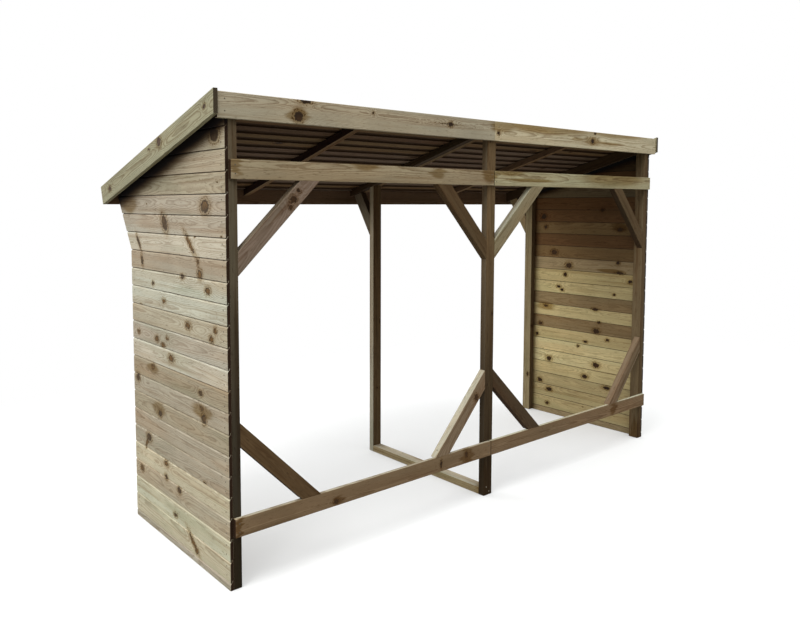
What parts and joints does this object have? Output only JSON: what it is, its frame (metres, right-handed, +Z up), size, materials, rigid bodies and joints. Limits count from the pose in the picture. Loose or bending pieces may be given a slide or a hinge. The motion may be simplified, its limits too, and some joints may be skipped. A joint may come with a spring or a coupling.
{
  "type": "log store",
  "caption": "Long timber log store with bays open at the front, rear and floor, boarded ends that flare under a lean-to roof, and knee braces in each opening.",
  "frame": {"origin": "on the ground, under the middle of the whole store", "axes": "+X along the front towards the right-hand end seen from the front, +Y from the open front to the rear, +Z up"},
  "size_m": [3.276, 1.237, 2.0292],
  "materials": {
    "framing": "rough sawn, weathered",
    "planed_boards": "planed, pressure treated",
    "wall_boards": "planed shiplap, pressure treated",
    "roof_boards": "sawn, pressure treated"
  },
  "bodies": {
    "root": {"barge_left": "planed_boards", "barge_right": "planed_boards", "eave_strut_centre": "framing", "eave_strut_left": "framing", "eave_strut_right": "framing", "front_fascia_left": "planed_boards", "front_fascia_right": "planed_boards", "front_post_centre": "framing", "front_post_left": "framing", "front_post_right": "framing", "ground_rail": "framing", "lintel_left": "planed_boards", "lintel_right": "planed_boards", "lower_brace_centre_left": "framing", "lower_brace_centre_right": "framing", "lower_brace_left": "framing", "lower_brace_right": "framing", "lower_rail_left": "planed_boards", "lower_rail_right": "planed_boards", "rafter_centre_left": "framing", "rafter_centre_right": "framing", "rafter_left": "framing", "rafter_right": "framing", "rear_fascia_left": "planed_boards", "rear_fascia_right": "planed_boards", "rear_post_centre": "framing", "rear_post_left": "framing", "rear_post_right": "framing", "roof_boarding_left": "roof_boards", "roof_boarding_right": "roof_boards", "upper_brace_centre_left": "framing", "upper_brace_centre_right": "framing", "upper_brace_left": "framing", "upper_brace_right": "framing", "wall_boarding_left": "wall_boards", "wall_boarding_right": "wall_boards", "wall_top_rail_left": "framing", "wall_top_rail_right": "framing"}
  },
  "joints": []
}
